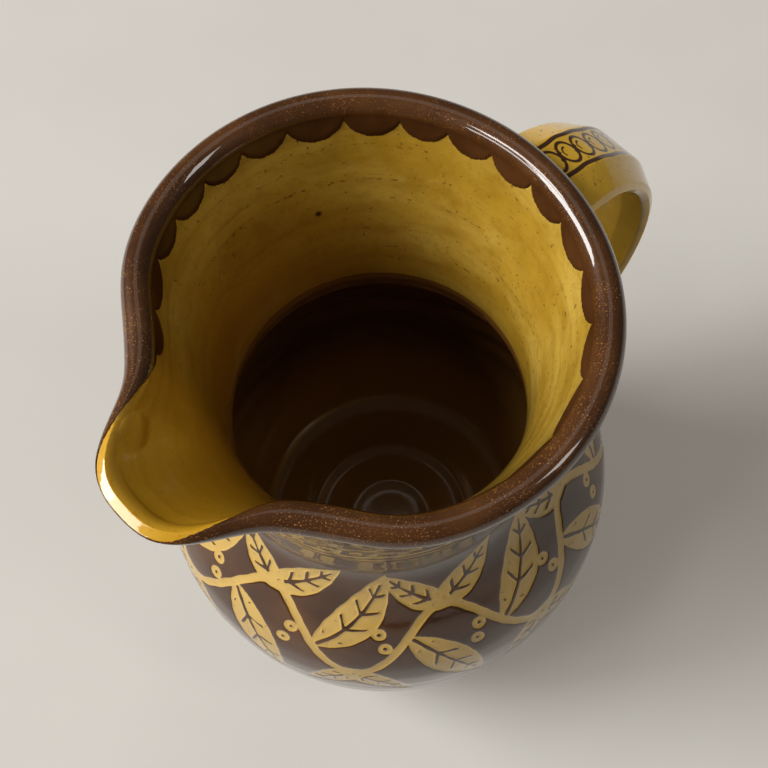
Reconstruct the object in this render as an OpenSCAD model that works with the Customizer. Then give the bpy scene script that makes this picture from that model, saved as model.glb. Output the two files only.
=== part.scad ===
// Slipware pouring jug: a thrown pot with a pulled lip, a pulled strap handle,
// an ochre slip lining in the neck and a dark, scalloped slip band over the rim.
// The origin is the centre of the base, +Z is up, the lip points along -X and the handle along +X.

/* [Pot] */
// Height of the pot to the top of its clay rim
pot_h = 169; // [155:1:190]
// Radius of the flat base
base_r = 44.5; // [40:0.5:50]
// Rounding of the edge of the base
base_edge = 3; // [1:0.5:5]
// Outside radius of the belly at its widest
belly_r = 64.5; // [60:0.5:70]
// Height of the widest part of the belly
belly_z = 58; // [50:1:66]
// Outside radius of the throat, where the neck and the belly meet
throat_r = 44.5; // [40:0.5:48]
// Height of the throat
throat_z = 106.5; // [100:0.5:114]
// Outside radius of the clay rim, where the handle stands
rim_r = 54.6; // [50:0.2:58]
// Thickness of the wall
wall = 5.5; // [4:0.25:7]
// Thickness of the floor
floor_t = 7; // [5:0.5:10]
// Thickness of the rounded rim
rim_t = 6; // [5:0.25:7]

/* [Lip] */
// How far the pouring lip stands out of the rim
lip_out = 16.5; // [8:0.5:20]
// Half of the lip's width, taken where it stands out half as far
lip_half_w = 17.2; // [13:0.2:22]
// How far below the top of the rim the lip begins
lip_drop = 44; // [30:1:50]
// Thickness of the lip's edge
lip_edge_t = 3.4; // [2.5:0.1:5]
// How far the rim is pinched in on each side of the lip
pinch_depth = 2; // [0:0.25:3]
// How far the pull spreads the rim on both sides, so that it is wider across than along the handle
side_out = 2.8; // [0:0.2:4]

/* [Slip] */
// Thickness of each coat of slip
slip_t = 0.4; // [0.3:0.05:0.8]
// Scallops of the dark band in a whole turn
scallops = 24; // [16:1:32]
// How far a scallop hangs below its cusps
scallop_h = 6.5; // [3:0.5:9]
// How far the cusps lie below the rounding of the rim
cusp_drop = 1.5; // [0.5:0.25:4]
// How far the dark band comes down on the outside of the rim
band_out = 2; // [1:0.5:4]

/* [Handle] */
// Width of the strap
strap_w = 25.5; // [22:0.5:32]
// Thickness of the strap along its middle
strap_t = 9; // [7:0.5:11]
// Distance from the pot's axis to the strap's middle line, where it stands out furthest
handle_reach = 91; // [84:1:96]
// Height of the strap's middle line there
handle_reach_z = 106; // [98:1:114]
// Height at which the strap leaves the neck
handle_top_z = 151.5; // [146:0.5:156]
// Height at which the strap meets the belly
handle_low_z = 58; // [50:1:66]
// Width of the flat along the strap's face
flat_w = 12; // [8:0.5:15]
// Width of each dark line that borders the flat
line_w = 1.6; // [1:0.2:3]

/* [Hidden] */
$fn = 96;

// Colours of the fired clay and slips
clay_colour = "#3a1d10";
ochre_colour = "#b8862d";
dark_colour = "#43210f";

// Steps along the curves of the profile, over the rim, round the neck and along the handle
curve_steps = 12;
neck_steps = 9;
rim_steps = 6;
band_steps = 2;
steps_per_scallop = 5;
turn_steps = scallops * steps_per_scallop;
handle_steps = 14;

// How far the foot of the neck stands in from the belly's edge that carries it
seam_inset = 0.05;
// How far a coat of slip stands off the clay that it lies on
slip_seat = 0.25;

// Height of the middle of the rim's rounding, and its radius
rim_round = rim_t / 2;
rim_z = pot_h - rim_round;
// Height of the neck between the throat and the rim's rounding
neck_h = rim_z - throat_z;

// Shares that shape the profile: how far each curve's ends hold their direction
base_rise_share = 0.34;
base_swell_share = 0.72;
belly_low_share = 0.46;
belly_high_share = 0.52;
throat_low_share = 0.40;
throat_high_share = 0.42;
flare_rise_share = 0.26;
flare_in_share = 0.30;
floor_share = 0.80;
floor_rise_share = 0.58;
// Shares that shape the lip: how it grows up the neck, and where the rim is pinched beside it
lip_growth_share = 1.7;
lip_blunt_share = 3;
pinch_place_share = 2.4;
pinch_width_share = 0.85;
// Where the dark band fades into the lip, as shares of the lip's half angle, and where it stays
// on the lip's edge
band_fade_shares = [1.4, 1.9];
lip_band_share = 1.2;
// Shares of a step along the section over which its direction is taken
slope_step_share = 0.01;
// Shares that shape the handle's path
root_rise_share = 0.85;
root_reach_share = 0.45;
bend_share = 0.24;
fall_share = 0.43;
land_out_share = 0.70;
land_up_share = 0.29;
// Half of the strap's section from its flat to its back, as shares of half its width and half its thickness
strap_shares = [[0.94, 0.24], [1, -0.16], [0.92, -0.56], [0.44, -0.88]];
strap_back_share = -0.84;
// How the strap narrows downwards and spreads where it is pressed onto the pot
taper_share = 0.17;
spread_share = 0.22;
swell_share = 0.35;
spread_power_share = 10;
// The part of the strap's length that the dark lines cover
line_span_shares = [0.07, 0.93];

// A point on a cubic curve, a run of points along it, and a list turned round
function cubic(p, t) =
    pow(1 - t, 3) * p[0] + 3 * pow(1 - t, 2) * t * p[1] + 3 * (1 - t) * t * t * p[2] + pow(t, 3) * p[3];
function slope(p, t) =
    pow(1 - t, 2) * (p[1] - p[0]) + 2 * (1 - t) * t * (p[2] - p[1]) + t * t * (p[3] - p[2]);
function run(p, n) = [for (i = [1 : n]) cubic(p, i / n)];
function backwards(list) = [for (i = [len(list) - 1 : -1 : 0]) list[i]];
function mix(a, b, t) = a + (b - a) * t;
function smooth(t) = let (c = min(1, max(0, t))) c * c * (3 - 2 * c);

// The curves of the profile, as control points in radius and height; inset moves a curve into the wall
function foot_curve() = [
    [base_r, base_edge],
    [mix(base_r, belly_r, base_swell_share), mix(base_edge, belly_z, base_rise_share)],
    [belly_r, belly_z - belly_low_share * belly_z],
    [belly_r, belly_z]];
function shoulder_curve(inset) = let (rise = throat_z - belly_z) [
    [belly_r - inset, belly_z],
    [belly_r - inset, belly_z + belly_high_share * rise],
    [throat_r - inset, throat_z - throat_low_share * rise],
    [throat_r - inset, throat_z]];
function neck_curve(inset) = [
    [throat_r - inset, throat_z],
    [throat_r - inset, throat_z + throat_high_share * neck_h],
    [mix(rim_r, throat_r, flare_in_share) - inset, rim_z - flare_rise_share * neck_h],
    [rim_r - inset, rim_z]];
function floor_curve() = let (deep_r = belly_r - wall) [
    [floor_share * base_r, floor_t],
    [mix(base_r, belly_r, base_swell_share) - wall, floor_t],
    [deep_r, mix(floor_t, belly_z, floor_rise_share)],
    [deep_r, belly_z]];

// The outside of the pot up to its throat, from the edge of the base
function outside_points() = concat(
    [for (a = [-90 : 15 : 0]) [base_r - base_edge + base_edge * cos(a), base_edge + base_edge * sin(a)]],
    run(foot_curve(), curve_steps),
    run(shoulder_curve(0), curve_steps));

// A place on the neck's section: up the outside from the throat (0 to 1), over the rim (1 to 2)
// and down the inside (2 to 3)
function section_point(q) =
    q <= 1 ? cubic(neck_curve(0), q)
    : q <= 2 ? let (a = 180 * (q - 1)) [rim_r - rim_round + rim_round * cos(a), rim_z + rim_round * sin(a)]
    : cubic(neck_curve(mix(wall, rim_t, 3 - q)), 3 - q);
// The direction out of the clay there
function section_normal(q) = let (
    d = section_point(min(3, q + slope_step_share)) - section_point(max(0, q - slope_step_share)))
    [d[1], -d[0]] / norm(d);
// The part of the count from 0 to 3 that a drop below the rim's rounding takes
function drop_share(drop) = drop / (3 * flare_rise_share * neck_h);

// How far the lip has grown at a height, and its shape at an angle from its middle line
lip_half_angle = asin(lip_half_w / (rim_r + lip_out / 2));
function lip_growth(z) = pow(min(1, max(0, (z - pot_h + lip_drop) / lip_drop)), lip_growth_share);
function lip_bump(a) = pow(0.5, pow(abs(a) / lip_half_angle, lip_blunt_share));
function lip_pinch(a) =
    let (off = (abs(a) / lip_half_angle - pinch_place_share) / pinch_width_share) exp(-off * off);

// Moves a point of the section out to its angle from the lip, with the lip pulled out of the neck;
// inside is 0 on the outside of the wall and 1 on its inside, where the lip is thinned
function pulled(p, a, inside) = let (
    thinned = inside * (rim_t - lip_edge_t) * lip_bump(a),
    pull = lip_out * lip_bump(a) - pinch_depth * lip_pinch(a) + side_out * pow(sin(a), 2) + thinned,
    r = p[0] + lip_growth(p[1]) * pull)
    [-r * cos(a), -r * sin(a), p[1]];
function neck_point(q, a, off) =
    pulled(section_point(q) + off * section_normal(q), a, min(1, max(0, q - 1)));

// The angles from the lip at which the neck is drawn
angles = [for (j = [0 : turn_steps - 1]) j * 360 / turn_steps - 180];

// Faces between closed rows of points, each row joined to the next and the last to the first
function ring_faces(rows, cols) = [
    for (i = [0 : rows - 1], j = [0 : cols - 1])
        let (k = (i + 1) % rows, l = (j + 1) % cols,
             a = i * cols + j, b = k * cols + j, c = k * cols + l, d = i * cols + l)
        each [[a, b, c], [a, c, d]]];

// The edge between the ochre lining and the dark band: scallops that run out into the lip
function scallop(a) =
    let (u = a / 360 * scallops, f = u - floor(u)) sqrt(max(0, 1 - pow(2 * f - 1, 2)));
function band_edge(a) = let (
    hung = 2 + drop_share(cusp_drop) + drop_share(scallop_h) * scallop(a),
    t = (abs(a) / lip_half_angle - band_fade_shares[0]) / (band_fade_shares[1] - band_fade_shares[0]))
    mix(lip_band_share, hung, smooth(t));

// A coat of slip on the neck; places gives the places on the section that it covers at an angle
module coat(places) {
    covered = [for (a = angles) places(a)];
    rows = len(covered[0]);
    function layer(i, off) = [for (j = [0 : turn_steps - 1]) neck_point(covered[j][i], angles[j], off)];
    top = [for (i = [0 : rows - 1]) layer(i, slip_seat + slip_t)];
    under = [for (i = [rows - 1 : -1 : 0]) layer(i, slip_seat)];
    points = [for (row = concat(top, under)) each row];
    polyhedron(points, ring_faces(2 * rows, turn_steps));
}

// The neck's wall with the lip; its foot stands just inside the edges of the belly's wall
module neck_wall() {
    places = concat(
        [for (i = [1 : neck_steps]) i / neck_steps],
        [for (i = [1 : rim_steps]) 1 + i / rim_steps],
        [for (i = [1 : neck_steps - 1]) 2 + i / neck_steps]);
    foot_out = [throat_r - seam_inset, throat_z];
    foot_in = [(throat_r - wall + seam_inset) / cos(180 / turn_steps), throat_z];
    rows = concat(
        [[for (a = angles) pulled(foot_out, a, 0)]],
        [for (q = places) [for (a = angles) neck_point(q, a, 0)]],
        [[for (a = angles) pulled(foot_in, a, 1)]]);
    polyhedron([for (row = rows) each row], ring_faces(len(rows), turn_steps));
}

module pot() color(clay_colour) {
    rotate_extrude() polygon(concat(
        [[0, 0]],
        outside_points(),
        [[throat_r - wall, throat_z]],
        backwards(concat([floor_curve()[0]], run(floor_curve(), curve_steps),
            [for (i = [1 : curve_steps - 1]) cubic(shoulder_curve(wall), i / curve_steps)])),
        [[0, floor_t]]));
    neck_wall();
}

module neck_slip() color(ochre_colour)
    coat(function(a) [for (i = [0 : neck_steps]) mix(band_edge(a), 3, i / neck_steps)]);

module rim_slip() color(dark_colour)
    coat(function(a) let (from = 1 - drop_share(band_out), edge = band_edge(a), turned = min(2, edge)) concat(
        [from],
        [for (i = [0 : rim_steps]) mix(1, turned, i / rim_steps)],
        [for (i = [1 : band_steps]) mix(turned, max(edge, turned + slope_step_share), i / band_steps)]));

// The handle's path in its upright plane: out of the neck to its furthest reach, then down to the belly
upper_path = [
    [throat_r, handle_top_z],
    [mix(throat_r, handle_reach, root_reach_share), handle_top_z + root_rise_share * strap_t],
    [handle_reach, mix(handle_reach_z, pot_h, 2 * bend_share)],
    [handle_reach, handle_reach_z]];
lower_path = [
    [handle_reach, handle_reach_z],
    [handle_reach, mix(handle_reach_z, handle_low_z, fall_share)],
    [mix(belly_r - wall, handle_reach, land_out_share), mix(handle_low_z, handle_reach_z, land_up_share)],
    [belly_r - wall, handle_low_z]];
function path_point(s) = s < 0.5 ? cubic(upper_path, 2 * s) : cubic(lower_path, 2 * s - 1);
function path_normal(s) = let (d = s < 0.5 ? slope(upper_path, 2 * s) : slope(lower_path, 2 * s - 1))
    [-d[1], d[0]] / norm(d);
function ends(s) = pow(1 - s, spread_power_share) + pow(s, spread_power_share);
function strap_half_w(s) = strap_w / 2 * (1 - taper_share * (s - 0.5) + spread_share * ends(s));
function strap_half_t(s) = strap_t / 2 * (1 + swell_share * ends(s));

// A point that stands off the path by a height and to one side
function strap_point(s, side, height) = let (p = path_point(s) + height * path_normal(s)) [p[0], side, p[1]];
function strap_ring(s) = let (w = strap_half_w(s), t = strap_half_t(s)) concat(
    [strap_point(s, flat_w / 2, t)],
    [for (p = strap_shares) strap_point(s, w * p[0], t * p[1])],
    [strap_point(s, 0, t * strap_back_share)],
    [for (p = backwards(strap_shares)) strap_point(s, -w * p[0], t * p[1])],
    [strap_point(s, -flat_w / 2, t)]);

// A solid through rings of points that lie across the handle's path, closed at both ends
module loft(rings) {
    n = len(rings[0]);
    last = len(rings) - 1;
    sides = [for (i = [0 : last - 1], j = [0 : n - 1])
        let (l = (j + 1) % n, a = i * n + j, b = i * n + l, c = (i + 1) * n + l, d = (i + 1) * n + j)
        each [[a, b, c], [a, c, d]]];
    polyhedron([for (ring = rings) each ring],
        concat(sides, [[for (j = [n - 1 : -1 : 0]) j], [for (j = [0 : n - 1]) last * n + j]]));
}

// The stations along the handle at which the strap is drawn
stations = [for (i = [0 : 2 * handle_steps]) i / (2 * handle_steps)];

module handle() color(ochre_colour) difference() {
    loft([for (s = stations) strap_ring(s)]);
    rotate_extrude() polygon(concat(
        [[0, 0]],
        outside_points(),
        [for (i = [1 : neck_steps]) cubic(neck_curve(0), i / neck_steps)],
        [[0, rim_z]]));
}

module handle_lines() color(dark_colour)
    for (side = [-1, 1]) {
        outer = side * flat_w / 2;
        inner = side * (flat_w / 2 - line_w);
        edges = side > 0 ? [outer, inner] : [inner, outer];
        loft([for (s = stations) if (s > line_span_shares[0] && s < line_span_shares[1])
            let (t = strap_half_t(s)) [
                strap_point(s, edges[0], t + slip_t), strap_point(s, edges[0], t),
                strap_point(s, edges[1], t), strap_point(s, edges[1], t + slip_t)]]);
    }

pot();
neck_slip();
rim_slip();
handle();
handle_lines();
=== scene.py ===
"""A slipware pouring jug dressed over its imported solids: pot, coats of slip, strap handle and glazes."""
import math

import bpy
import numpy as np
from mathutils import Matrix, Vector


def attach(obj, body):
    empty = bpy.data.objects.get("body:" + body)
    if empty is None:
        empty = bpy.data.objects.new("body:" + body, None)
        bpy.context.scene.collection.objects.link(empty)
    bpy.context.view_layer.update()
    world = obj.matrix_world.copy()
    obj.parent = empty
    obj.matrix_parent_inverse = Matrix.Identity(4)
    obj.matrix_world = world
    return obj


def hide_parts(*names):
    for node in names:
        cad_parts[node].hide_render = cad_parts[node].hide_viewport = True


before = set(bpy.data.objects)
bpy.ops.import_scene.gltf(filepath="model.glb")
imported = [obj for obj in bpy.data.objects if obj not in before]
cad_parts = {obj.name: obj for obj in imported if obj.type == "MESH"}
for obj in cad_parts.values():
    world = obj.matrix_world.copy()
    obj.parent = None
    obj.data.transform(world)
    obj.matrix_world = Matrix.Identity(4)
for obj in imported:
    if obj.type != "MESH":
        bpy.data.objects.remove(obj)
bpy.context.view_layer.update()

MM = 0.001

# Sizes of the pot in millimetres, the same as the solids have
POT_H = 169.0
BASE_R, BASE_EDGE = 44.5, 3.0
BELLY_R, BELLY_Z = 64.5, 58.0
THROAT_R, THROAT_Z = 44.5, 106.5
RIM_R, RIM_T = 54.6, 6.0
WALL, FLOOR_T = 5.5, 7.0
# Sizes of the lip that is pulled out of the neck
LIP_OUT, LIP_HALF_W, LIP_DROP, LIP_EDGE_T = 16.5, 17.2, 44.0, 3.4
PINCH_DEPTH, SIDE_OUT = 2.0, 2.8
# Sizes of the coats of slip
SLIP_SEAT, SLIP_T = 0.25, 0.4
SCALLOP_H, CUSP_DROP, BAND_OUT = 6.5, 1.5, 2.0
# Sizes of the handle
STRAP_W, STRAP_T, FLAT_W = 25.5, 9.0, 12.0
REACH, REACH_Z = 91.0, 106.0
TOP_Z, LOW_Z = 151.5, 58.0

# Shares that shape the profile: how far each curve's ends hold their direction
BASE_RISE, BASE_SWELL = 0.34, 0.72
BELLY_LOW, BELLY_HIGH = 0.46, 0.52
THROAT_LOW, THROAT_HIGH = 0.40, 0.42
FLARE_RISE, FLARE_IN = 0.26, 0.30
FLOOR_SHARE, FLOOR_RISE = 0.80, 0.58
# Shares that shape the lip: how it grows up the neck, how blunt it is, and the pinch beside it
LIP_GROWTH, LIP_BLUNT = 1.7, 3
PINCH_PLACE, PINCH_WIDTH = 2.4, 0.85

# The rim's rounding, the height of the neck below it, and half of the angle that the lip takes
RIM_ROUND = RIM_T / 2
RIM_Z = POT_H - RIM_ROUND
NECK_H = RIM_Z - THROAT_Z
LIP_HALF_ANGLE = math.degrees(math.asin(LIP_HALF_W / (RIM_R + LIP_OUT / 2)))
# The lip's edge is wiped to a slope this wide and this steep
EDGE_W, EDGE_SLOPE = 2.9, 0.53
# The drop below the rim's rounding that one step along the section stands for, as it starts there
DROP_STEP = 3 * FLARE_RISE * NECK_H
# The part of a step over which the section's direction is taken
SLOPE_STEP = 0.01

# Columns round the pot, and the angle of each from the lip
COLS = 800
ANGLES = np.arange(COLS) * 360.0 / COLS - 180.0


def mix(a, b, t):
    return a + (b - a) * t


def smooth(low, high, x):
    """0 at low, 1 at high and beyond, with a smooth rise between them."""
    t = np.clip((x - low) / (high - low), 0.0, 1.0)
    return t * t * (3 - 2 * t)


def cubic(p, t):
    """Points on a cubic curve."""
    p = np.asarray(p, float)
    t = np.asarray(t, float)[..., None]
    return (1 - t) ** 3 * p[0] + 3 * (1 - t) ** 2 * t * p[1] + 3 * (1 - t) * t * t * p[2] + t ** 3 * p[3]


def slope(p, t):
    """The direction of a cubic curve."""
    p = np.asarray(p, float)
    t = np.asarray(t, float)[..., None]
    return (1 - t) ** 2 * (p[1] - p[0]) + 2 * (1 - t) * t * (p[2] - p[1]) + t * t * (p[3] - p[2])


def square_to(d):
    """Unit vectors at right angles to directions in radius and height, to their right."""
    n = np.stack([d[..., 1], -d[..., 0]], -1)
    return n / np.linalg.norm(n, axis=-1, keepdims=True)


def lengths_along(points):
    """The distance from the first point to each one, along the line through them."""
    return np.concatenate([[0], np.cumsum(np.linalg.norm(np.diff(points, axis=0), axis=1))])


# The curves of the profile, as control points in radius and height
FOOT = [(BASE_R, BASE_EDGE),
        (mix(BASE_R, BELLY_R, BASE_SWELL), mix(BASE_EDGE, BELLY_Z, BASE_RISE)),
        (BELLY_R, BELLY_Z - BELLY_LOW * BELLY_Z),
        (BELLY_R, BELLY_Z)]
FLOOR = [(FLOOR_SHARE * BASE_R, FLOOR_T),
         (mix(BASE_R, BELLY_R, BASE_SWELL) - WALL, FLOOR_T),
         (BELLY_R - WALL, mix(FLOOR_T, BELLY_Z, FLOOR_RISE)),
         (BELLY_R - WALL, BELLY_Z)]
NECK = [(THROAT_R, THROAT_Z),
        (THROAT_R, THROAT_Z + THROAT_HIGH * NECK_H),
        (mix(RIM_R, THROAT_R, FLARE_IN), RIM_Z - FLARE_RISE * NECK_H),
        (RIM_R, RIM_Z)]


def shoulder(inset):
    rise = THROAT_Z - BELLY_Z
    return [(BELLY_R - inset, BELLY_Z),
            (BELLY_R - inset, BELLY_Z + BELLY_HIGH * rise),
            (THROAT_R - inset, THROAT_Z - THROAT_LOW * rise),
            (THROAT_R - inset, THROAT_Z)]


def section(q):
    """Radius and height at a place on the neck: outside 0 to 1, over the rim 1 to 2, inside 2 to 3."""
    q = np.asarray(q, float)
    outer = cubic(NECK, np.clip(q, 0, 1))
    turn = np.pi * np.clip(q - 1, 0, 1)
    roll = np.stack([RIM_R - RIM_ROUND + RIM_ROUND * np.cos(turn), RIM_Z + RIM_ROUND * np.sin(turn)], -1)
    back = np.clip(3 - q, 0, 1)
    inner = cubic(NECK, back)
    inner[..., 0] -= mix(WALL, RIM_T, back)
    return np.where((q <= 1)[..., None], outer, np.where((q <= 2)[..., None], roll, inner))


def section_normal(q):
    """The direction out of the clay at a place on the neck."""
    return square_to(section(np.minimum(3, q + SLOPE_STEP)) - section(np.maximum(0, q - SLOPE_STEP)))


def pulled(p, a, inside, lift=0.0):
    """Turns points of the section to their angles from the lip, in metres, and pulls the lip out of them.

    inside is 0 on the outside of the wall and 1 on its inside, where the lip is thinned.
    lift is how far a coat lies above the clay.
    """
    share = np.abs(a) / LIP_HALF_ANGLE
    bump = 0.5 ** (share ** LIP_BLUNT)
    pinch = np.exp(-((share - PINCH_PLACE) / PINCH_WIDTH) ** 2)
    growth = np.clip((p[..., 1] - POT_H + LIP_DROP) / LIP_DROP, 0, 1) ** LIP_GROWTH
    t = np.radians(a)
    thinned = inside * (RIM_T - LIP_EDGE_T) * bump
    r = p[..., 0] + growth * (LIP_OUT * bump - PINCH_DEPTH * pinch + SIDE_OUT * np.sin(t) ** 2 + thinned)
    edge = RIM_R + LIP_OUT * bump - EDGE_W
    wiped = bump * np.maximum(0, p[..., 1] - POT_H - lift + EDGE_SLOPE * np.maximum(0, r - edge))
    return np.stack([-r * np.cos(t), -r * np.sin(t), p[..., 1] - wiped], -1) * MM


def neck_surface(q, off):
    """Points that lie off the clay of the neck, for rows of places on the section."""
    p = section(q) + off[..., None] * section_normal(q)
    return pulled(p, ANGLES[None, :], np.clip(q - 1, 0, 1), off)


def make_piece(name, points, faces, materials, attributes, face_material=None):
    """A smooth mesh object that rides on the jug, from points and a list of equal-sided face arrays."""
    mesh = bpy.data.meshes.new(name)
    mesh.vertices.add(len(points))
    mesh.vertices.foreach_set("co", np.ascontiguousarray(points, np.float32).ravel())
    loops = np.concatenate([f.ravel() for f in faces])
    sizes = np.concatenate([np.full(len(f), f.shape[1]) for f in faces])
    starts = np.concatenate([[0], np.cumsum(sizes)[:-1]])
    mesh.loops.add(len(loops))
    mesh.loops.foreach_set("vertex_index", loops.astype(np.int32))
    mesh.polygons.add(len(sizes))
    mesh.polygons.foreach_set("loop_start", starts.astype(np.int32))
    mesh.polygons.foreach_set("use_smooth", np.ones(len(sizes), bool))
    for material in materials:
        mesh.materials.append(material)
    if face_material is not None:
        mesh.polygons.foreach_set("material_index", face_material.astype(np.int32))
    for label, values in attributes.items():
        layer = mesh.attributes.new(label, "FLOAT", "POINT")
        layer.data.foreach_set("value", values.ravel().astype(np.float32))
    mesh.update(calc_edges=True)
    mesh.validate()
    piece = bpy.data.objects.new(name, mesh)
    bpy.context.scene.collection.objects.link(piece)
    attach(piece, "root")
    return piece


def ring_quads(rows, cols, close_rows):
    """Faces between rows of points whose columns close on themselves."""
    row = np.arange(rows if close_rows else rows - 1)[:, None]
    col = np.arange(cols)[None, :]
    next_row = (row + 1) % rows
    next_col = (col + 1) % cols
    corners = [(row, col), (row, next_col), (next_row, next_col), (next_row, col)]
    return np.stack([i * cols + j for i, j in corners], -1).reshape(-1, 4)


def end_caps(rows, cols):
    """The two faces that close the first and the last of such rows."""
    ring = np.arange(cols)
    return np.stack([ring[::-1], (rows - 1) * cols + ring])


# The cut design is a field: how far a place lies inside the nearest edge in millimetres, below 0 outside it
FAR = 9.0
# The vine's stem is a wave round the belly
WAVES = 7
STEM_HALF_W, STEM_SWING, STEM_Z = 1.25, 12.0, 79.0
# Leaves on half a wave: the phase at which one leaves the stem, its turn, length, width and bend
LEAVES = [(0.04, -58, 36, 12.0, 2.6), (0.17, 40, 27, 9.0, -1.5), (0.33, 138, 24, 8.5, 1.5)]
# How a leaf comes to its point and how full it is
LEAF_POINT, LEAF_FULL = 0.82, 0.85
# The dark midrib: half its width, how it thins, and the share of the leaf where it ends
RIB_HALF_W, RIB_TAPER, RIB_END = 0.62, 0.5, 0.86
# The dark side veins: their number, half width and lean, and the shares of the leaf that they keep to
VEINS, VEIN_HALF_W, VEIN_LEAN, VEIN_ACROSS = 5, 0.40, 0.9, 0.75
VEIN_OUT, VEIN_START, VEIN_END = 0.72, 0.16, 0.8
# Berries on half a wave: phase and height over the stem's middle line; each has a dark eye
BERRIES = [(0.385, -4.4), (0.415, 0.7)]
BERRY_R, BERRY_EYE_R = 2.0, 0.55
# Lines that border the design: height and half width
BORDERS = [(24.0, 0.9), (28.5, 0.45), (116.0, 0.45), (119.5, 0.9), (131.0, 0.9)]
# A row of dots between the upper borders
DOTS, DOTS_Z, DOT_R = 40, 125.2, 1.7
# The height under which the design stays
DESIGN_TOP = 136.0
# How far the knife wavered, and its two crossing ripples: waves in a turn and radians in a millimetre up
WAVER = 0.12
RIPPLES = (23, 0.9), (41, -0.55)


def leaf_field(u, v, length, width, bend):
    """A pointed leaf from the origin along u, with a midrib and side veins left dark."""
    t = u / length
    y = np.abs(v - bend * u * (length - u) / length ** 2 * 4)
    inside = np.clip(t, 0, 1)
    half = width / 2 * np.sin(np.pi * inside ** LEAF_POINT) ** LEAF_FULL
    body = np.where((t > 0) & (t < 1), half - y, -np.maximum(y, np.maximum(-u, u - length)))
    rib = np.where(t < RIB_END, y - RIB_HALF_W * (1 - RIB_TAPER * inside), FAR)
    pitch = length / VEINS
    off_vein = np.abs(np.mod(u - VEIN_LEAN * y, pitch) - pitch / 2) * VEIN_ACROSS
    veined = (y < VEIN_OUT * half) & (t > VEIN_START) & (t < VEIN_END)
    vein = np.where(veined, off_vein - VEIN_HALF_W, FAR)
    return np.minimum(body, np.minimum(rib, vein))


def decoration(theta, radius, along, height):
    """The design's field on a grid of angles and distances along the outside."""
    def along_at(z):
        return np.interp(z, height[:, 0], along[:, 0])

    def radius_at(v):
        return np.interp(v, along[:, 0], radius[:, 0])

    def turn_from(at):
        return np.mod(theta - at + np.pi, 2 * np.pi) - np.pi

    level = along_at(STEM_Z)
    stem = level + STEM_SWING * np.sin(WAVES * theta)
    lean = STEM_SWING * WAVES * np.cos(WAVES * theta) / radius
    field = np.maximum(-FAR, STEM_HALF_W - np.abs(along - stem) / np.sqrt(1 + lean ** 2))
    span = 2 * np.pi / WAVES
    for wave in range(WAVES):
        # The second half of each wave is the first one turned over
        for start, sign in ((wave, 1), (wave + 0.5, -1)):
            for phase, turn, length, width, bend in LEAVES:
                foot = level + sign * STEM_SWING * math.sin(2 * math.pi * phase)
                middle = foot + sign * math.copysign(length / 3, turn)
                du = turn_from((start + phase) * span) * radius_at(middle)
                dv = along - foot
                c = math.cos(math.radians(turn))
                s = sign * math.sin(math.radians(turn))
                leaf = leaf_field(c * du + s * dv, c * dv - s * du, length, width, sign * bend)
                field = np.maximum(field, leaf)
            for phase, up in BERRIES:
                middle = level + sign * up
                du = turn_from((start + phase) * span) * radius_at(middle)
                off = np.hypot(du, along - middle)
                field = np.maximum(field, np.minimum(BERRY_R - off, off - BERRY_EYE_R))
    for z, half_w in BORDERS:
        field = np.maximum(field, half_w - np.abs(along - along_at(z)))
    row = along_at(DOTS_Z)
    pitch = 2 * np.pi / DOTS
    du = (np.mod(theta, pitch) - pitch / 2) * radius_at(row)
    return np.maximum(field, DOT_R - np.hypot(du, along - row))


def cut_design(outside):
    """The design's field on the rows of the outside, with the edges of a hand-held knife."""
    along = lengths_along(outside)[:, None]
    theta = np.radians(ANGLES)[None, :]
    drawn = decoration(theta, outside[:, :1], along, outside[:, 1:])
    first, second = [np.sin(turning * theta + climbing * along) for turning, climbing in RIPPLES]
    return np.where(outside[:, 1:] < DESIGN_TOP, drawn + WAVER * first * second, -FAR)


# Points along each stretch of the pot's profile, and the radius at which it ends in the middle
BASE_STEPS, EDGE_STEPS, FOOT_STEPS, SHOULDER_STEPS, NECK_STEPS = 12, 8, 96, 104, 70
RIM_STEPS, INSIDE_STEPS, FLOOR_STEPS = 26, 44, 40
CENTRE_R = 1.0
# How deep the design is cut, and the values of its field over which the cut slopes down
CUT_DEPTH, CUT_SLOPE = 0.22, (-0.2, 0.3)
# Throwing rings climb in a spiral: depth, pitch and the heights at which they fade in and out
SPIRAL_RISE = 3.2
INSIDE_RINGS = 0.28, 8.5, (20, 34), (96, 112)
OUTSIDE_RINGS = 0.02, 6.3, (8, 20), (100, 112)
# Ridges that the fingers left on the floor: radius, width and height, and the heights at which they fade
FLOOR_RIDGES = [(25.5, 2.2, 0.80), (13.0, 2.4, 0.60)]
RIDGES_FADE_Z = 9, 16
# Heights over which the painted light on the belly's floor fades out
FLOOR_LIGHT_FADE_Z = 9, 40
# The pot's materials, in the order in which they are given
OUTSIDE, UNDERSIDE, INSIDE = 0, 1, 2


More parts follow.
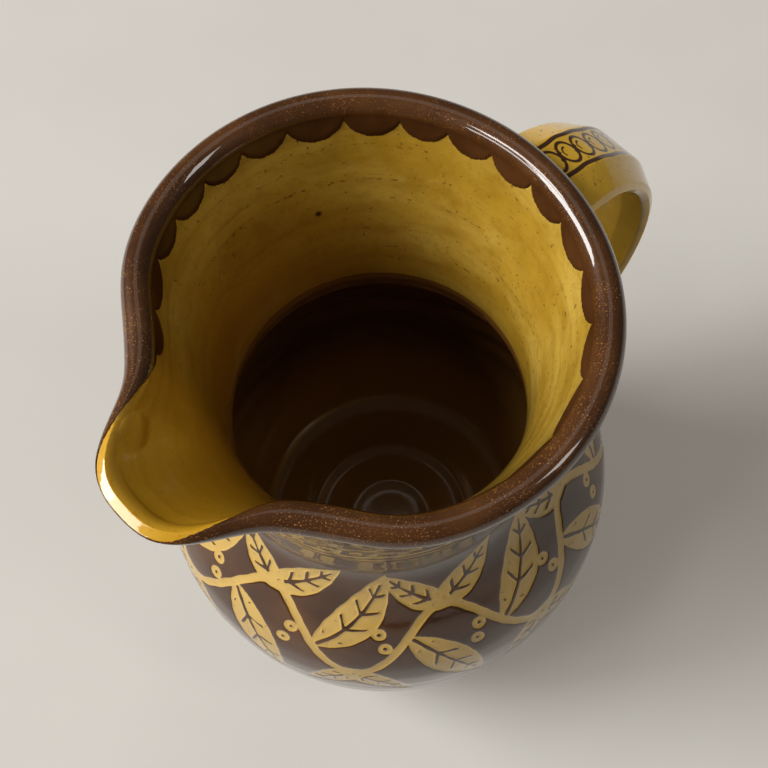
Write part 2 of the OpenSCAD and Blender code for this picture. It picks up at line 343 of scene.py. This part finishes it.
def pot_profile():
    """Radius and height along the base, up the outside, over the rim and down the inside to the middle."""
    def run(curve, start, end, count):
        return cubic(curve, np.linspace(start, end, count))[1:]

    base = np.stack([np.linspace(CENTRE_R, BASE_R - BASE_EDGE, BASE_STEPS), np.zeros(BASE_STEPS)], -1)
    corner = np.radians(np.linspace(-90, 0, EDGE_STEPS))[1:]
    edge_r = BASE_R - BASE_EDGE + BASE_EDGE * np.cos(corner)
    edge_z = BASE_EDGE + BASE_EDGE * np.sin(corner)
    up = np.concatenate([np.stack([edge_r, edge_z], -1),
                         run(FOOT, 0, 1, FOOT_STEPS),
                         run(shoulder(0), 0, 1, SHOULDER_STEPS),
                         section(np.linspace(0, 1, NECK_STEPS))[1:]])
    over = section(np.linspace(1, 2, RIM_STEPS))[1:]
    floor_r = np.linspace(FLOOR_SHARE * BASE_R, CENTRE_R, FLOOR_STEPS)[1:]
    down = np.concatenate([section(np.linspace(2, 3, INSIDE_STEPS))[1:],
                           run(shoulder(WALL), 1, 0, INSIDE_STEPS),
                           run(FLOOR, 1, 0, INSIDE_STEPS),
                           np.stack([floor_r, np.full_like(floor_r, FLOOR_T)], -1)])
    return base, up, over, down


def throwing_rings(z, depth, pitch, fade_in, fade_out):
    spiral = z + SPIRAL_RISE * (np.radians(ANGLES)[None, :] / (2 * np.pi))
    rings = depth * np.sin(2 * np.pi * spiral / pitch)
    return rings * smooth(*fade_in, z) * (1 - smooth(*fade_out, z))


def pot_relief(profile, inside, cut):
    """How far the skin stands off the profile: cut design, throwing rings and ridges on the floor."""
    r, z = profile[:, :1], profile[:, 1:]
    ridges = sum(height * np.exp(-((r - at) / width) ** 2) for at, width, height in FLOOR_RIDGES)
    ridges = ridges * (1 - smooth(*RIDGES_FADE_Z, z))
    within = throwing_rings(z, *INSIDE_RINGS) + ridges
    without = throwing_rings(z, *OUTSIDE_RINGS)
    return np.where(inside[:, None] >= 1, within, without) - CUT_DEPTH * smooth(*CUT_SLOPE, cut)


def build_pot(materials):
    """The thrown pot: one closed skin from the base up the outside, over the rim and down to the floor."""
    base, up, over, down = pot_profile()
    profile = np.concatenate([base, up, over, down])
    inside = np.concatenate([np.zeros(len(base) + len(up)),
                             np.linspace(0, 1, len(over)),
                             np.ones(len(down))])
    rows = len(profile)
    cut = np.full((rows, COLS), -FAR)
    cut[len(base):len(base) + len(up)] = cut_design(up)
    normal = square_to(np.gradient(profile, axis=0))
    skin = profile[:, None, :] + pot_relief(profile, inside, cut)[..., None] * normal[:, None, :]
    points = pulled(skin, ANGLES[None, :], inside[:, None])

    quads = ring_quads(rows, COLS, False)
    caps = end_caps(rows, COLS)
    face_material = np.full(len(quads) + len(caps), OUTSIDE)
    face_material[:len(base) * COLS] = UNDERSIDE
    face_material[(rows - len(down)) * COLS:] = INSIDE
    face_material[len(quads)] = UNDERSIDE
    # Painted light: the glaze on the belly's floor is paler
    painted_light = np.broadcast_to(1 - smooth(*FLOOR_LIGHT_FADE_Z, profile[:, 1:]), cut.shape)
    piece = make_piece("pot_body", points.reshape(-1, 3), [quads, caps], materials,
                       {"cut": cut, "painted_light": painted_light}, face_material)
    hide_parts("pot")


# Angles from the lip at which the scallops' cusps stand, and the two that stand nearest to it
CUSPS = np.array([-170, -156, -142, -126.5, -110.5, -97, -84, -71, -58.5, -43.5, -30,
                  26, 39, 52, 67, 82, 97.5, 115, 130.5, 146, 161.5, 175.5])
LAST_LEFT, LAST_RIGHT = CUSPS[CUSPS < 0].max(), CUSPS[CUSPS > 0].min()
# The lobes hang a little shorter than the solid band, which stands clear of them
LOBE_SHARE = 0.78
# How full a lobe is, the angle of a usual one, and the least and most that its width stretches its length
LOBE_FULL, LOBE_ANGLE, LOBE_STRETCH = 0.62, 15.0, (0.75, 1.05)
# Angles at which the lip is bare, and the band's places on the section there and at the last cusps
BARE_LEFT, BARE_RIGHT = -5, 3
LIP_BAND, CUSP_BAND = 1.16, 2.03
# How far the brush strayed at the lobes and beside the lip, in millimetres
RAGGED_LOBE, RAGGED_LIP = 0.16, 0.75
# A coat's thickness at its edges, and the rows over which it swells from there
COAT_EDGE_T, COAT_EDGE_ROWS = 0.02, 2.0
# Rows of each coat, and how far the lining goes under the band
LINING_ROWS, BAND_ROWS, LINING_LAP = 100, 56, 0.08
# The lining is thinner than the solid coat
LINING_T = 0.7 * SLIP_T
# A drop of glaze that stood in the lip, and a pinhole in the far wall of the neck
POOL_AT, POOL_R, POOL_H = (-56.6, 13.8, 164.1), 4.6, 1.3
PINHOLE_AT, PINHOLE_R, PINHOLE_EDGE = (17.3, 38.8, 137.6), 0.9, (0.5, 1.4)
# Painted shade: the ochre is deeper in colour towards the throat, most on one side
THROAT_SHADE_FADE_Z, THROAT_SHADE_SIDE = (114.0, 163.0), -38.7
# Painted shade in the lip: a warmer, deeper ochre, out to this angle
LIP_SHADE_HALF_ANGLE = 30.0
# Places on the section over which the fine dust on the rim ends
DUSTY_END = 1.75, 2.02


def band_edge(a):
    """Where on the section the dark band ends: scalloped, and drawn back over the rim at the lip."""
    cusps = np.concatenate([CUSPS - 360, CUSPS, CUSPS + 360])
    k = np.searchsorted(cusps, a, side="right") - 1
    wide = cusps[k + 1] - cusps[k]
    lobe = np.maximum(0, 1 - (2 * (a - cusps[k]) / wide - 1) ** 2) ** LOBE_FULL
    hang = LOBE_SHARE * SCALLOP_H * lobe * np.clip(wide / LOBE_ANGLE, *LOBE_STRETCH)
    # An uneven line that shows no repeat
    ragged = (np.sin(2.9 * a) * np.sin(1.3 * a + 0.7) + 0.6 * np.sin(7.1 * a)) / DROP_STEP
    hung = 2 + (CUSP_DROP + hang) / DROP_STEP + RAGGED_LOBE * ragged
    reach = np.where(a < 0, smooth(BARE_LEFT, LAST_LEFT, a), smooth(BARE_RIGHT, LAST_RIGHT, a))
    drawn_back = mix(LIP_BAND, CUSP_BAND, reach) + RAGGED_LIP * ragged * smooth(0, 0.3, reach)
    return np.where((a < LAST_LEFT) | (a > LAST_RIGHT), hung, drawn_back)


def coat(name, node, material, places, thickness, attributes):
    """A coat of slip on the neck with rounded edges, from its rows of places on the section."""
    rows = len(places)
    share = np.linspace(0, 1, rows)[:, None]
    swell = np.minimum(1, np.minimum(share, 1 - share) * (rows - 1) / COAT_EDGE_ROWS)
    off = COAT_EDGE_T + (thickness - COAT_EDGE_T) * np.sqrt(swell) * np.ones_like(places)
    top = neck_surface(places, off)
    under = neck_surface(places[::-1], np.zeros_like(places))
    points = np.concatenate([top, under]).reshape(-1, 3)
    both_sides = {label: np.concatenate([values, values[::-1]]) for label, values in attributes.items()}
    piece = make_piece(name, points, [ring_quads(2 * rows, COLS, True)], [material], both_sides)
    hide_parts(node)


def build_coats(ochre, dark):
    """The ochre lining of the neck, and the dark band over the rim that laps it."""
    edge = band_edge(ANGLES)[None, :]
    share = np.linspace(0, 1, LINING_ROWS)[:, None]
    lining = mix(np.maximum(edge - LINING_LAP, 1 + LINING_LAP), 3.0, share)
    points = neck_surface(lining, np.zeros_like(lining)) / MM
    from_pool = np.linalg.norm(points - POOL_AT, axis=-1) / POOL_R
    from_pinhole = np.linalg.norm(points - PINHOLE_AT, axis=-1) / PINHOLE_R
    pool = np.clip(1 - from_pool ** 2, 0, 1)
    up = smooth(*THROAT_SHADE_FADE_Z, points[..., 2])
    marks = {"pinhole": 1 - smooth(*PINHOLE_EDGE, from_pinhole),
             # Painted shade: deeper ochre towards the throat, most on one side
             "throat_shade": (1 - up) * (0.5 + 0.5 * np.cos(np.radians(ANGLES - THROAT_SHADE_SIDE))),
             # Painted shade: warmer ochre in the lip
             "lip_shade": up * 0.5 ** ((np.abs(ANGLES) / LIP_SHADE_HALF_ANGLE) ** LIP_BLUNT)}
    coat("neck_lining", "neck_slip", ochre, lining, LINING_T + POOL_H * pool, marks)
    share = np.linspace(0, 1, BAND_ROWS)[:, None]
    band = mix(1 - BAND_OUT / DROP_STEP, edge, share)
    coat("rim_band", "rim_slip", dark, band, SLIP_SEAT + SLIP_T,
         {"dusty": 1 - smooth(*DUSTY_END, band)})


# Shares that shape the handle's path
ROOT_RISE, ROOT_REACH, BEND = 0.85, 0.45, 0.48
FALL, LAND_OUT, LAND_UP = 0.43, 0.70, 0.29
# The two curves of the path, as control points in distance from the axis and height
UPPER = [(THROAT_R, TOP_Z),
         (mix(THROAT_R, REACH, ROOT_REACH), TOP_Z + ROOT_RISE * STRAP_T),
         (REACH, mix(REACH_Z, POT_H, BEND)),
         (REACH, REACH_Z)]
LOWER = [(REACH, REACH_Z),
         (REACH, mix(REACH_Z, LOW_Z, FALL)),
         (mix(BELLY_R - WALL, REACH, LAND_OUT), mix(LOW_Z, REACH_Z, LAND_UP)),
         (BELLY_R - WALL, LOW_Z)]
# Half of the strap's section from its flat to its back, as shares of half its width and half its thickness
HALF_SECTION = [(0.94, 0.24), (1.0, -0.16), (0.92, -0.56), (0.44, -0.88)]
STRAP_BACK = -0.84
# How the strap narrows downwards and spreads where it is pressed onto the pot
TAPER, SPREAD, SWELL, SPREAD_POWER = 0.17, 0.22, 0.35, 10
# How far its ends go into the pot's wall
HANDLE_SINK = 2.2
# Points along the strap and round it, and how its corners are cut
STATIONS, SECTION_POINTS = 380, 240
CORNER_CUT, CORNER_PASSES = 0.035, 2
# Points on each curve of the outside against which the ends are pressed
OUTSIDE_STEPS = 60
# Shares of the half thickness: where the inked face begins, and where the painted shade on the inside of
# the strap starts and is full
FACE_SHARE, SHADE_START_SHARE, SHADE_FULL_SHARE = 0.86, -0.1, -0.75
# The two painted borders: half width and distance from the middle
LINE_HALF_W, LINE_OFF = 0.62, 5.2
# The painter's hand wavered in waves of a size, pace and start, and less on the left border
HAND_WAVES, LEFT_WAVER = ((0.22, 0.35, 0.0), (0.12, 0.93, 1.0)), 0.7
# The painted chain: its start, pitch and sway, and the half size, mean radius and half line of its rings
CHAIN_START, CHAIN_PITCH, CHAIN_SWAY, SWAY_PACE = 4.4, 5.2, 0.25, 2.3
RING_ALONG, RING_ACROSS, RING_MEAN_R, RING_HALF_W = 2.35, 3.5, 2.8, 0.40
# The stroke in each ring: half width, share of the ring's radius, direction and half angle in radians,
# and the radius that makes a length of an angle there
STROKE_HALF_W, STROKE_IN = 0.26, 0.5
STROKE_AT, STROKE_HALF_ANGLE, STROKE_R = 2.5, 1.2, 1.2
# The curl that links two rings: half width, swing and half length
LINK_HALF_W, LINK_SWING, LINK_HALF_LENGTH = 0.42, 0.9, 0.9


def outside_radius(z):
    """The outside of the pot without its lip, as a radius at a height."""
    steps = np.linspace(0, 1, OUTSIDE_STEPS)
    curve = np.concatenate([cubic(FOOT, steps), cubic(shoulder(0), steps), cubic(NECK, steps)])
    order = np.argsort(curve[:, 1])
    return np.interp(z, curve[order, 1], curve[order, 0])


def rounded(ring):
    """Cuts the corners of a closed outline, so that its faces stay flat and its edges get round."""
    for _ in range(CORNER_PASSES):
        following = np.roll(ring, -1, axis=0)
        pairs = np.stack([mix(ring, following, CORNER_CUT), mix(following, ring, CORNER_CUT)], 1)
        ring = pairs.reshape(-1, 2)
    return ring


def resampled(ring, count):
    """Evenly spaced points on a closed outline."""
    closed = np.concatenate([ring, ring[:1]])
    s = lengths_along(closed)
    want = np.linspace(0, s[-1], count, endpoint=False)
    return np.stack([np.interp(want, s, closed[:, 0]), np.interp(want, s, closed[:, 1])], -1)


def handle_ink(side, along):
    """The field of the strap's painted lines: two borders and a chain of rings with a stroke in each."""
    waver = sum(size * np.sin(along * pace + start) for size, pace, start in HAND_WAVES)
    right = LINE_HALF_W - np.abs(side - LINE_OFF - waver)
    left = LINE_HALF_W - np.abs(side + LINE_OFF - waver * LEFT_WAVER)
    k = np.round((along - CHAIN_START) / CHAIN_PITCH)
    x = along - CHAIN_START - k * CHAIN_PITCH
    y = side - CHAIN_SWAY * np.sin(k * SWAY_PACE)
    rho = np.hypot(x / RING_ALONG, y / RING_ACROSS)
    ring = RING_HALF_W - np.abs(rho - 1) * RING_MEAN_R
    turn = np.arctan2(y / RING_ACROSS, x / RING_ALONG)
    off_stroke = np.abs(np.mod(turn - STROKE_AT + np.pi, 2 * np.pi) - np.pi)
    stroke = np.minimum(STROKE_HALF_W - np.abs(rho - STROKE_IN) * RING_MEAN_R,
                        (STROKE_HALF_ANGLE - off_stroke) * STROKE_R)
    link = np.minimum(LINK_HALF_W - np.abs(y + LINK_SWING * np.sin(x)),
                      LINK_HALF_LENGTH - np.abs(np.abs(x) - CHAIN_PITCH / 2))
    return np.max([right, left, ring, stroke, link], axis=0)


def strap_section(half_w, half_t):
    """The closed outline of the strap: across it and out of its face."""
    half = [(FLAT_W / 2, half_t)] + [(half_w * p, half_t * h) for p, h in HALF_SECTION]
    ring = half + [(0, STRAP_BACK * half_t)] + [(-side, height) for side, height in reversed(half)]
    return resampled(rounded(np.array(ring, float)), SECTION_POINTS)


def build_handle(material):
    """The pulled strap, swept along its two curves from below the rim to the belly."""
    s = np.linspace(0.0, 1.0, STATIONS)
    t_up, t_low = np.clip(2 * s, 0, 1), np.clip(2 * s - 1, 0, 1)
    upper = (s < 0.5)[:, None]
    path = np.where(upper, cubic(UPPER, t_up), cubic(LOWER, t_low))
    outward = -square_to(np.where(upper, slope(UPPER, t_up), slope(LOWER, t_low)))
    along = lengths_along(path)
    ends = (1 - s) ** SPREAD_POWER + s ** SPREAD_POWER
    half_w = STRAP_W / 2 * (1 - TAPER * (s - 0.5) + SPREAD * ends)
    half_t = STRAP_T / 2 * (1 + SWELL * ends)
    points = np.zeros((STATIONS, SECTION_POINTS, 3))
    ink = np.zeros((STATIONS, SECTION_POINTS))
    under = np.zeros((STATIONS, SECTION_POINTS))
    for i in range(STATIONS):
        side, height = strap_section(half_w[i], half_t[i]).T
        centre = path[i] + height[:, None] * outward[i]
        points[i] = np.stack([centre[:, 0], side, centre[:, 1]], -1)
        # Painted shade: the colour darkens towards the inside of the strap
        under[i] = 1 - smooth(SHADE_FULL_SHARE * half_t[i], SHADE_START_SHARE * half_t[i], height)
        ink[i] = np.where(height > FACE_SHARE * half_t[i], handle_ink(side, along[i]), -FAR)
    # The ends are pressed onto the pot: they stop inside its wall
    r = np.hypot(points[..., 0], points[..., 1])
    keep = outside_radius(points[..., 2]) - HANDLE_SINK
    x = np.sqrt(np.maximum(keep ** 2 - points[..., 1] ** 2, 0))
    points[..., 0] = np.where(r < keep, x, points[..., 0])
    # The section runs the other way round than the pot's columns do, so its faces are turned over
    quads = ring_quads(STATIONS, SECTION_POINTS, False)[:, ::-1]
    caps = end_caps(STATIONS, SECTION_POINTS)[:, ::-1]
    piece = make_piece("strap_handle", points.reshape(-1, 3) * MM, [quads, caps], [material],
                       {"ink": ink, "under": under})
    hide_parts("handle", "handle_lines")


# The clear glaze, and the weak shine of the slip under it
GLAZE_IOR, SLIP_SPECULAR = 1.5, 0.1
# The colour sockets of a Mix node, which share their names with its other sockets
MIX_A, MIX_B, MIX_RESULT = 6, 7, 2


class Shader:
    """A glazed material and short ways to add nodes to it."""

    def __init__(self, name, roughness, coat_roughness, coat_weight=1.0):
        self.material = bpy.data.materials.new(name)
        self.material.use_nodes = True
        self.tree = self.material.node_tree
        self.bsdf = self.tree.nodes["Principled BSDF"]
        self.bsdf.inputs["Roughness"].default_value = roughness
        self.bsdf.inputs["Coat Weight"].default_value = coat_weight
        self.bsdf.inputs["Coat Roughness"].default_value = coat_roughness
        self.bsdf.inputs["Coat IOR"].default_value = GLAZE_IOR
        self.bsdf.inputs["Specular IOR Level"].default_value = SLIP_SPECULAR
        self.place = self.tree.nodes.new("ShaderNodeTexCoord").outputs["Object"]

    def link(self, a, b):
        self.tree.links.new(a, b)

    def noise(self, scale, detail=4.0, stretch=(1, 1, 1), roughness=0.55):
        mapping = self.tree.nodes.new("ShaderNodeMapping")
        mapping.inputs["Scale"].default_value = stretch
        self.link(self.place, mapping.inputs["Vector"])
        node = self.tree.nodes.new("ShaderNodeTexNoise")
        node.inputs["Scale"].default_value = scale
        node.inputs["Detail"].default_value = detail
        node.inputs["Roughness"].default_value = roughness
        self.link(mapping.outputs["Vector"], node.inputs["Vector"])
        return node.outputs["Fac"]

    def step(self, value, low, high, to_low=0.0, to_high=1.0):
        """A smooth rise from to_low to to_high as the value goes from low to high."""
        node = self.tree.nodes.new("ShaderNodeMapRange")
        node.interpolation_type = "SMOOTHSTEP"
        numbers = {"From Min": low, "From Max": high, "To Min": to_low, "To Max": to_high}
        for label, number in numbers.items():
            node.inputs[label].default_value = number
        self.link(value, node.inputs["Value"])
        return node.outputs["Result"]

    def calculate(self, operation, a, b):
        node = self.tree.nodes.new("ShaderNodeMath")
        node.operation = operation
        self.link(a, node.inputs[0])
        self.link(b, node.inputs[1])
        return node.outputs[0]

    def attribute(self, name):
        node = self.tree.nodes.new("ShaderNodeAttribute")
        node.attribute_name = name
        return node.outputs["Fac"]

    def blend(self, factor, a, b):
        """A colour between a and b, each a tuple or a socket."""
        node = self.tree.nodes.new("ShaderNodeMix")
        node.data_type = "RGBA"
        self.link(factor, node.inputs["Factor"])
        for socket, value in ((node.inputs[MIX_A], a), (node.inputs[MIX_B], b)):
            if isinstance(value, tuple):
                socket.default_value = (*value, 1.0)
            else:
                self.link(value, socket)
        return node.outputs[MIX_RESULT]

    def colour(self, socket):
        self.link(socket, self.bsdf.inputs["Base Color"])

    def bump(self, height, strength, distance):
        """Fine unevenness in metres, on top of any that was added before."""
        node = self.tree.nodes.new("ShaderNodeBump")
        node.inputs["Strength"].default_value = strength
        node.inputs["Distance"].default_value = distance
        self.link(height, node.inputs["Height"])
        if self.bsdf.inputs["Normal"].is_linked:
            self.link(self.bsdf.inputs["Normal"].links[0].from_socket, node.inputs["Normal"])
        self.link(node.outputs["Normal"], self.bsdf.inputs["Normal"])
        self.link(node.outputs["Normal"], self.bsdf.inputs["Coat Normal"])


# Dark slip, the rusty dust on the rim, and the ink on the handle
DARK, DARK_WARM = (0.040, 0.014, 0.004), (0.074, 0.028, 0.008)
RUSTY = (0.36, 0.165, 0.045)
INK = (0.050, 0.017, 0.007)
# Deep, usual and pale ochre: in the neck, in the cut design and on the handle, where a brighter copy paints
# light
NECK_OCHRES = (0.26, 0.138, 0.009), (0.41, 0.252, 0.025), (0.49, 0.330, 0.060)
BODY_OCHRES = (0.36, 0.205, 0.022), (0.49, 0.300, 0.040), (0.56, 0.370, 0.075)
LIT_HANDLE_OCHRES = (0.58, 0.330, 0.020), (0.75, 0.445, 0.032), (0.80, 0.510, 0.065)
# What marks the ochre: streaks, rows of grains and specks
STREAK, GRAIN, SPECK = (0.23, 0.118, 0.012), (0.12, 0.055, 0.008), (0.10, 0.042, 0.010)
# Painted shade in the ochre: deeper at the throat, warmer in the lip and darker inside the strap; and the
# pinhole
THROAT_SHADE_OCHRE, LIP_SHADE_OCHRE, SHADED_OCHRE = (0.215, 0.094, 0.004), (0.50, 0.258, 0.009), (0.17, 0.095, 0.014)
PINHOLE = (0.030, 0.012, 0.004)
# Clay that the cut design shows, the glaze inside the belly with painted light that makes its floor paler,
# and the bare clay of the base
TAN = (0.46, 0.31, 0.11)
INNER, INNER_WARM, FLOOR_LIGHT_COLOUR = (0.105, 0.042, 0.008), (0.155, 0.067, 0.014), (0.42, 0.215, 0.045)
CLAY, CLAY_PALE = (0.23, 0.105, 0.055), (0.36, 0.18, 0.10)
# The floor that the jug stands on, and its own faint light
FLOOR_GREY, FLOOR_PALE = (0.36, 0.355, 0.34), (0.385, 0.38, 0.365)
FLOOR_GLOW, FLOOR_GLOW_STRENGTH = (1.0, 0.90, 0.78, 1.0), 0.15
# Values of a field over which its edge is drawn
SHARP = -0.10, 0.10


def ochre_colour(shader, ochres, streaked):
    """Ochre slip under a clear glaze: cloudy and finely speckled, and streaked round the pot if asked."""
    deep, usual, pale = ochres
    cloud = shader.step(shader.noise(34.0, 5.0, (1, 1, 1.8), 0.62), 0.34, 0.68)
    base = shader.blend(cloud, deep, pale)
    base = shader.blend(shader.step(shader.noise(90.0), 0.3, 0.7, 0.15, 0.65), base, usual)
    base = shader.blend(shader.step(shader.noise(420.0, 3.0), 0.48, 0.72, 0.0, 0.35), base, deep)
    if streaked:
        streaks = shader.step(shader.noise(13.0, 5.0, (0.5, 0.5, 24.0)), 0.52, 0.72, 0.0, 0.45)
        base = shader.blend(streaks, base, STREAK)
        rows = shader.step(shader.noise(9.0, 4.0, (0.35, 0.35, 70.0)), 0.56, 0.64)
        grains = shader.step(shader.noise(1100.0, 2.0, (0.6, 0.6, 1.0)), 0.55, 0.66, 0.0, 0.8)
        base = shader.blend(shader.calculate("MULTIPLY", rows, grains), base, GRAIN)
    specks = shader.step(shader.noise(760.0, 2.0), 0.655, 0.73, 0.0, 0.75)
    return shader.blend(specks, base, SPECK)


def dark_colour(shader):
    cloud = shader.step(shader.noise(55.0, 5.0), 0.35, 0.7)
    return shader.blend(cloud, DARK, DARK_WARM)


def pot_material():
    """Dark slip, with the design cut through it to paler clay."""
    shader = Shader("dark_slip_glaze", roughness=0.34, coat_roughness=0.04)
    cut = shader.step(shader.attribute("cut"), *SHARP)
    bare = shader.step(shader.noise(30.0, 2.0), 0.2, 0.8, 0.35, 0.55)
    clay = shader.blend(bare, ochre_colour(shader, BODY_OCHRES, False), TAN)
    shader.colour(shader.blend(cut, dark_colour(shader), clay))
    shader.bump(shader.noise(150.0, 2.0), strength=0.05, distance=0.0006)
    return shader.material


def inner_material():
    """Brown glaze inside the belly, with painted light that makes its floor paler."""
    shader = Shader("inner_glaze", roughness=0.45, coat_roughness=0.11, coat_weight=0.75)
    cloud = shader.step(shader.noise(45.0, 5.0, (1, 1, 3.0)), 0.35, 0.7)
    wall = shader.blend(cloud, INNER, INNER_WARM)
    # Painted light on the belly's floor
    shader.colour(shader.blend(shader.attribute("painted_light"), wall, FLOOR_LIGHT_COLOUR))
    shader.bump(shader.noise(160.0, 3.0), strength=0.06, distance=0.0008)
    return shader.material


def clay_material():
    """The bare base."""
    shader = Shader("bare_clay", roughness=0.85, coat_roughness=0.5, coat_weight=0.0)
    grain = shader.step(shader.noise(420.0, 6.0), 0.3, 0.7)
    shader.colour(shader.blend(grain, CLAY, CLAY_PALE))
    shader.bump(shader.noise(900.0, 5.0), strength=0.35, distance=0.0006)
    return shader.material


def lining_material():
    """Streaked ochre in the neck, with painted shade deeper at the throat and warmer in the lip, and one
    pinhole.
    """
    shader = Shader("ochre_slip_glaze", roughness=0.38, coat_roughness=0.04)
    # Painted shade towards the throat
    throat_shade = shader.step(shader.attribute("throat_shade"), 0.0, 0.9, 0.0, 0.85)
    slip = shader.blend(throat_shade, ochre_colour(shader, NECK_OCHRES, True), THROAT_SHADE_OCHRE)
    # Painted shade: warmer ochre in the lip
    lip_shade = shader.step(shader.attribute("lip_shade"), 0.0, 0.9, 0.0, 0.7)
    slip = shader.blend(lip_shade, slip, LIP_SHADE_OCHRE)
    shader.colour(shader.blend(shader.attribute("pinhole"), slip, PINHOLE))
    shader.bump(shader.noise(16.0, 4.0, (0.5, 0.5, 14.0)), strength=0.16, distance=0.0012)
    shader.bump(shader.noise(260.0, 3.0), strength=0.06, distance=0.0006)
    return shader.material


def rim_material():
    """Dark slip with a rusty dust over the rim; the scallops below it shine less."""
    shader = Shader("rim_slip_glaze", roughness=0.32, coat_roughness=0.03)
    dusty = shader.attribute("dusty")
    grains = shader.step(shader.noise(2600.0, 2.0), 0.57, 0.72, 0.0, 0.8)
    patches = shader.step(shader.noise(120.0, 3.0), 0.36, 0.66, 0.15, 1.0)
    dust = shader.calculate("MULTIPLY", shader.calculate("MULTIPLY", grains, patches), dusty)
    shader.colour(shader.blend(dust, dark_colour(shader), RUSTY))
    shader.link(shader.step(dusty, 0.0, 1.0, 0.35, 1.0), shader.bsdf.inputs["Coat Weight"])
    shader.bump(shader.noise(200.0, 2.0), strength=0.04, distance=0.0006)
    return shader.material


def handle_material():
    """Ochre with painted lines, and painted shade that darkens the inside of the strap."""
    shader = Shader("handle_slip_glaze", roughness=0.36, coat_roughness=0.05)
    # Painted shade on the inside of the strap
    under = shader.step(shader.attribute("under"), 0.0, 1.0, 0.0, 0.75)
    # Painted light: the handle's ochre is a brighter copy of the slip
    slip = shader.blend(under, ochre_colour(shader, LIT_HANDLE_OCHRES, False), SHADED_OCHRE)
    shader.colour(shader.blend(shader.step(shader.attribute("ink"), *SHARP), slip, INK))
    shader.bump(shader.noise(180.0, 3.0), strength=0.08, distance=0.0008)
    return shader.material


def floor_material():
    """A pale floor, a little brighter to the camera and in reflections than the lamps make it."""
    shader = Shader("pale_floor", roughness=0.9, coat_roughness=0.5, coat_weight=0.0)
    tone = shader.step(shader.noise(9.0, 3.0), 0.3, 0.7)
    shader.colour(shader.blend(tone, FLOOR_GREY, FLOOR_PALE))
    path = shader.tree.nodes.new("ShaderNodeLightPath").outputs
    seen = shader.calculate("MAXIMUM", path["Is Camera Ray"], path["Is Glossy Ray"])
    glow = shader.step(seen, 0.0, 1.0, 0.0, FLOOR_GLOW_STRENGTH)
    shader.bsdf.inputs["Emission Color"].default_value = FLOOR_GLOW
    shader.link(glow, shader.bsdf.inputs["Emission Strength"])
    return shader.material


# The photograph's frame is turned about the jug's axis from the jug's own
VIEW_TURN = Matrix.Rotation(math.radians(-38.71), 4, "Z")
# Half of the floor's side in metres
FLOOR_REACH = 3.0
# The light of the room all round
ROOM_COLOUR, ROOM_STRENGTH = (1.0, 0.90, 0.76, 1.0), 0.09
# Lamps in the photograph's frame, in metres and watts: name, place, width, height, power and tint
DAYLIGHT, SOFT_LIGHT, WARM_LIGHT = (1.0, 0.98, 0.95), (1.0, 0.97, 0.93), (1.0, 0.95, 0.88)
LAMPS = [("window", (-1.81, 0.27, 1.38), 1.05, 0.95, 58.0, DAYLIGHT),
         ("low_sky", (-1.82, -0.73, 1.34), 1.15, 0.36, 14.5, DAYLIGHT),
         ("skylight", (-1.39, -0.14, 2.02), 1.10, 0.36, 24.0, SOFT_LIGHT),
         ("side_window", (1.50, -0.55, 1.90), 0.41, 0.72, 7.0, SOFT_LIGHT),
         ("ceiling", (0.05, 0.85, 2.30), 1.00, 1.00, 2.0, WARM_LIGHT)]
LAMP_TARGET = Vector((0, 0, 0.10))
# Lamps stand this much further off than listed, with their size and power grown to match
LAMPS_FAR = 1.6
# The camera in the photograph's frame: place in metres, tilt down and roll in degrees, lens in millimetres
CAMERA_AT, CAMERA_TILT, CAMERA_ROLL = (0.00187, -0.12906, 0.4234), 66.95, 5.29
SENSOR_W, LENS = 36.0, 60.94
CLIP_START, CLIP_END = 0.01, 20.0


def build_floor():
    mesh = bpy.data.meshes.new("table_floor")
    corners = [(-1, -1), (1, -1), (1, 1), (-1, 1)]
    mesh.from_pydata([(FLOOR_REACH * x, FLOOR_REACH * y, 0) for x, y in corners], [], [(0, 1, 2, 3)])
    mesh.materials.append(floor_material())
    ground = bpy.data.objects.new("table_floor", mesh)
    bpy.context.scene.collection.objects.link(ground)


def light_room():
    world = bpy.data.worlds.new("room")
    world.use_nodes = True
    background = world.node_tree.nodes["Background"]
    background.inputs["Color"].default_value = ROOM_COLOUR
    background.inputs["Strength"].default_value = ROOM_STRENGTH
    bpy.context.scene.world = world
    for name, at, wide, high, power, tint in LAMPS:
        lamp = bpy.data.lights.new(name, "AREA")
        lamp.shape = "RECTANGLE"
        lamp.size = LAMPS_FAR * wide
        lamp.size_y = LAMPS_FAR * high
        lamp.energy = LAMPS_FAR ** 2 * power
        lamp.color = tint
        light = bpy.data.objects.new(name, lamp)
        place = VIEW_TURN @ (LAMPS_FAR * Vector(at))
        aim = VIEW_TURN @ LAMP_TARGET - place
        light.location = place
        light.rotation_euler = aim.to_track_quat("-Z", "Y").to_euler()
        bpy.context.scene.collection.objects.link(light)


def set_camera():
    tilt, roll = math.radians(CAMERA_TILT), math.radians(CAMERA_ROLL)
    right = Vector((1, 0, 0))
    up = Vector((0, math.sin(tilt), math.cos(tilt)))
    ahead = Vector((0, math.cos(tilt), -math.sin(tilt)))
    rolled_right = right * math.cos(roll) - up * math.sin(roll)
    rolled_up = up * math.cos(roll) + right * math.sin(roll)
    turn = Matrix((rolled_right, rolled_up, -ahead)).transposed().to_4x4()
    lens = bpy.data.cameras.new("camera")
    lens.sensor_width = SENSOR_W
    lens.lens = LENS
    lens.clip_start = CLIP_START
    lens.clip_end = CLIP_END
    camera = bpy.data.objects.new("camera", lens)
    camera.matrix_world = VIEW_TURN @ Matrix.Translation(CAMERA_AT) @ turn
    bpy.context.scene.collection.objects.link(camera)
    bpy.context.scene.camera = camera
    bpy.context.scene.view_settings.view_transform = "Standard"


build_pot([pot_material(), clay_material(), inner_material()])
build_coats(lining_material(), rim_material())
build_handle(handle_material())
build_floor()
light_room()
set_camera()
